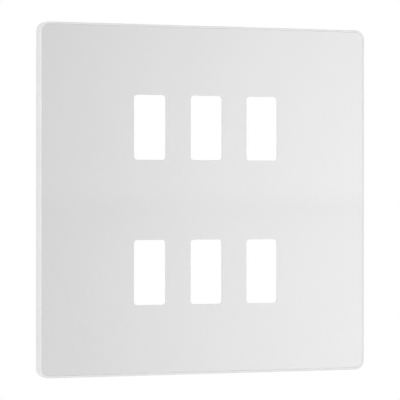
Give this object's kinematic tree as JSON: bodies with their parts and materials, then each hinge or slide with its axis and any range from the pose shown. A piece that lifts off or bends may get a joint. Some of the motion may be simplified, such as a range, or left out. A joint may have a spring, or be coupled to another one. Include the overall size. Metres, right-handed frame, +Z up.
{
  "type": "grid switch cover plate",
  "caption": "Square screwless wall plate with rows of rocker apertures: a satin front panel set in a thin moulded border, clipped over a ribbed mounting frame.",
  "frame": {"origin": "middle of the wall plane, midway between the slots for the box screws", "axes": "+Z up the wall, +Y into the wall, so the plate faces -Y; +X to the right as seen from the front"},
  "size_m": [0.146, 0.0054, 0.146],
  "materials": {
    "panel": "satin pearl lacquer on a 0.5 mm polycarbonate sheet",
    "cover": "white moulded polycarbonate, semi-gloss",
    "frame": "off-white moulded polycarbonate, fine matt texture"
  },
  "bodies": {
    "root": {"front_panel": "panel", "cover_moulding": "cover", "mounting_frame": "frame"}
  },
  "joints": []
}
